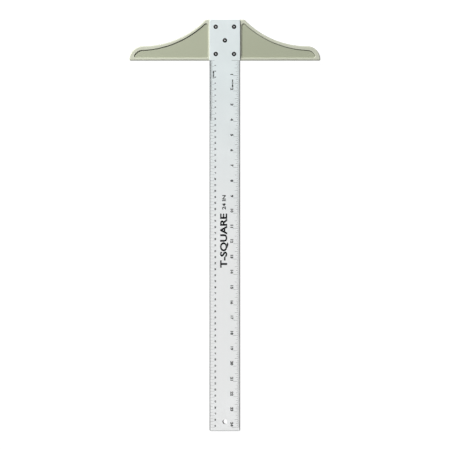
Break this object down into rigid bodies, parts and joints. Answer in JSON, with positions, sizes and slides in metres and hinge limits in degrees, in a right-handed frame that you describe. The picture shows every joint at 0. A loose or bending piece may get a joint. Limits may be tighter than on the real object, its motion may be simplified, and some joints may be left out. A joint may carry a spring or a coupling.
{
  "type": "t-square",
  "caption": "Drafting T-square: a long flat metal blade with scales on both edges, riveted square across a winged plastic head with a straight guide edge.",
  "frame": {"origin": "on the blade's underside, in the middle of its width, where the head's guide edge and the zero line of both scales cross it", "axes": "+X along the head, towards the inch edge; +Y along the blade, towards the head's top; +Z out of the graduated face"},
  "size_m": [0.3174, 0.6839, 0.0092],
  "materials": {
    "blade_metal": "satin anodised",
    "head_plastic": "satin moulded, greenish beige",
    "rivet_black": "semi-gloss black",
    "pin_steel": "bright, broken end",
    "washer_steel": "zinc plated",
    "ink": "screen-printed scales and figures"
  },
  "bodies": {
    "root": {"blade": "blade_metal", "head": "head_plastic", "rivet_top_left": "rivet_black", "rivet_pin_top_left": "pin_steel", "rivet_washer_top_left": "washer_steel", "rivet_top_right": "rivet_black", "rivet_pin_top_right": "pin_steel", "rivet_washer_top_right": "washer_steel", "rivet_middle": "rivet_black", "rivet_pin_middle": "pin_steel", "rivet_washer_middle": "washer_steel", "rivet_bottom_left": "rivet_black", "rivet_pin_bottom_left": "pin_steel", "rivet_washer_bottom_left": "washer_steel", "rivet_bottom_right": "rivet_black", "rivet_pin_bottom_right": "pin_steel", "rivet_washer_bottom_right": "washer_steel"}
  },
  "joints": []
}
